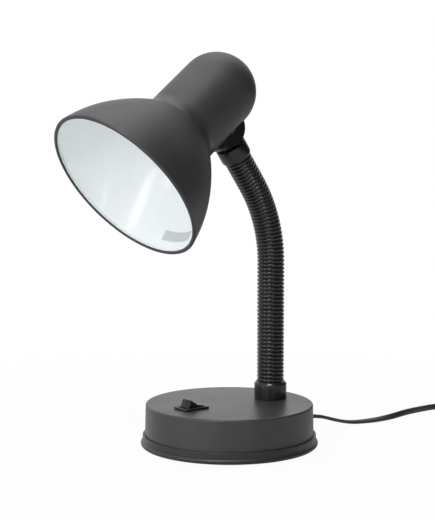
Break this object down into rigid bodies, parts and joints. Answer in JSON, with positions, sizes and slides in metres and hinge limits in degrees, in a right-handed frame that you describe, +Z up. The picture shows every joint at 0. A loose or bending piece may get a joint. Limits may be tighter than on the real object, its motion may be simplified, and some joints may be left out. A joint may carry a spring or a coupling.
{
  "type": "desk lamp",
  "caption": "Gooseneck desk lamp with a weighted round base, a rocker switch, a ribbed flexible arm and a tilting bell shade over a screw lampholder.",
  "frame": {"origin": "centre of the round base, on the table", "axes": "+Z up; the switch is at the front, towards -Y and 8 degrees round towards +X, and the cord leaves at the back, towards +Y"},
  "size_m": [0.1571, 0.4163, 0.2856],
  "materials": {
    "base_black": "fine matt texture",
    "cover_black": "satin",
    "foot_foam": "matt",
    "ballast_iron": "raw casting",
    "screw_steel": "zinc plated",
    "switch_black": "semi gloss",
    "contact_brass": "bright",
    "relief_black": "satin",
    "cord_black": "satin",
    "lead_sleeve": "satin",
    "clamp_plastic": "matt",
    "collar_black": "semi gloss",
    "arm_steel": "plain",
    "arm_skin": "semi gloss",
    "knuckle_black": "satin",
    "shade_black": "matt black powder coat",
    "liner_white": "white gloss enamel",
    "sticker_pale": "paper",
    "holder_black": "satin",
    "plug_black": "satin"
  },
  "bodies": {
    "base": {"base_shell": "base_black", "bottom_cover": "cover_black", "foot_ring": "foot_foam", "base_screws": "screw_steel", "ballast": "ballast_iron", "switch_housing": "switch_black", "switch_terminals": "contact_brass", "strain_relief": "relief_black", "inner_cord": "cord_black", "cord_clamp": "clamp_plastic", "clamp_screws": "screw_steel", "base_leads": "lead_sleeve", "arm_nipple": "arm_steel", "nipple_washer": "arm_steel", "nipple_nut": "arm_steel", "lower_collar": "collar_black", "arm_conduit_0": "arm_steel", "cord_tube": "cord_black", "cord_coil": "cord_black", "plug_body": "plug_black", "plug_pins": "contact_brass"},
    "rocker": {"switch_rocker": "switch_black"},
    "arm_1": {"arm_conduit_1": "arm_steel", "arm_sleeve_1": "arm_skin"},
    "arm_2": {"arm_conduit_2": "arm_steel", "arm_sleeve_2": "arm_skin"},
    "arm_3": {"arm_conduit_3": "arm_steel", "arm_sleeve_3": "arm_skin"},
    "arm_4": {"arm_conduit_4": "arm_steel", "arm_sleeve_4": "arm_skin"},
    "arm_5": {"arm_conduit_5": "arm_steel", "arm_sleeve_5": "arm_skin"},
    "arm_top": {"arm_conduit_6": "arm_steel", "arm_sleeve_6": "arm_skin", "upper_collar": "collar_black", "knuckle_stem": "arm_steel"},
    "head": {"head_knuckle": "knuckle_black", "pivot_screw": "screw_steel", "pivot_nut": "screw_steel", "friction_washers": "screw_steel", "bell_shade": "shade_black", "white_liner": "liner_white", "blank_sticker": "sticker_pale", "socket_cover": "shade_black", "lampholder_body": "holder_black", "shade_clamp_ring": "holder_black", "screw_shell": "contact_brass", "centre_contact": "contact_brass", "side_contact": "contact_brass", "holder_screws": "screw_steel", "holder_terminals": "contact_brass", "head_leads": "lead_sleeve"}
  },
  "joints": [
    {"name": "arm_bend", "type": "hinge", "parent": "base", "child": "arm_1", "pos_m": [0, 0.0355, 0.05172], "axis": [0.9854, 0.1702, 0], "range_deg": [-20, 12], "deforming": ["arm_sleeve_1"]},
    {"name": "arm_side", "type": "hinge", "parent": "arm_1", "child": "arm_2", "pos_m": [0, 0.0355, 0.08316], "axis": [-0.1702, 0.9854, 0], "range_deg": [-25, 25], "deforming": ["arm_sleeve_2"]},
    {"name": "arm_bend_3", "type": "hinge", "parent": "arm_2", "child": "arm_3", "pos_m": [0, 0.0355, 0.1146], "axis": [0.9854, 0.1702, 0], "range_deg": [-20, 12], "deforming": ["arm_sleeve_3"]},
    {"name": "arm_bend_4", "type": "hinge", "parent": "arm_3", "child": "arm_4", "pos_m": [0.00015, 0.03465, 0.146], "axis": [0.9854, 0.1702, 0], "range_deg": [-20, 12], "deforming": ["arm_sleeve_4"]},
    {"name": "arm_side_5", "type": "hinge", "parent": "arm_4", "child": "arm_5", "pos_m": [0.00166, 0.02587, 0.17601], "axis": [-0.1536, 0.8891, 0.4311], "range_deg": [-25, 25], "deforming": ["arm_sleeve_5"]},
    {"name": "arm_bend_6", "type": "hinge", "parent": "arm_5", "child": "arm_top", "pos_m": [0.00457, 0.00905, 0.20234], "axis": [0.9854, 0.1702, 0], "range_deg": [-20, 12], "deforming": ["arm_sleeve_6"]},
    {"name": "head_tilt", "type": "hinge", "parent": "arm_top", "child": "head", "pos_m": [0.00825, -0.01228, 0.23213], "axis": [0.9854, 0.1702, 0], "range_deg": [-12, 30]},
    {"name": "switch_rocker", "type": "hinge", "parent": "base", "child": "rocker", "pos_m": [0.00508, -0.03443, 0.0314], "axis": [0.9893, 0.1461, 0], "range_deg": [0, 46]}
  ],
  "couplings": [
    {"joint": "arm_bend_3", "follows": "arm_bend", "ratio": 1},
    {"joint": "arm_bend_4", "follows": "arm_bend", "ratio": 1},
    {"joint": "arm_side_5", "follows": "arm_side", "ratio": 1},
    {"joint": "arm_bend_6", "follows": "arm_bend", "ratio": 1}
  ]
}
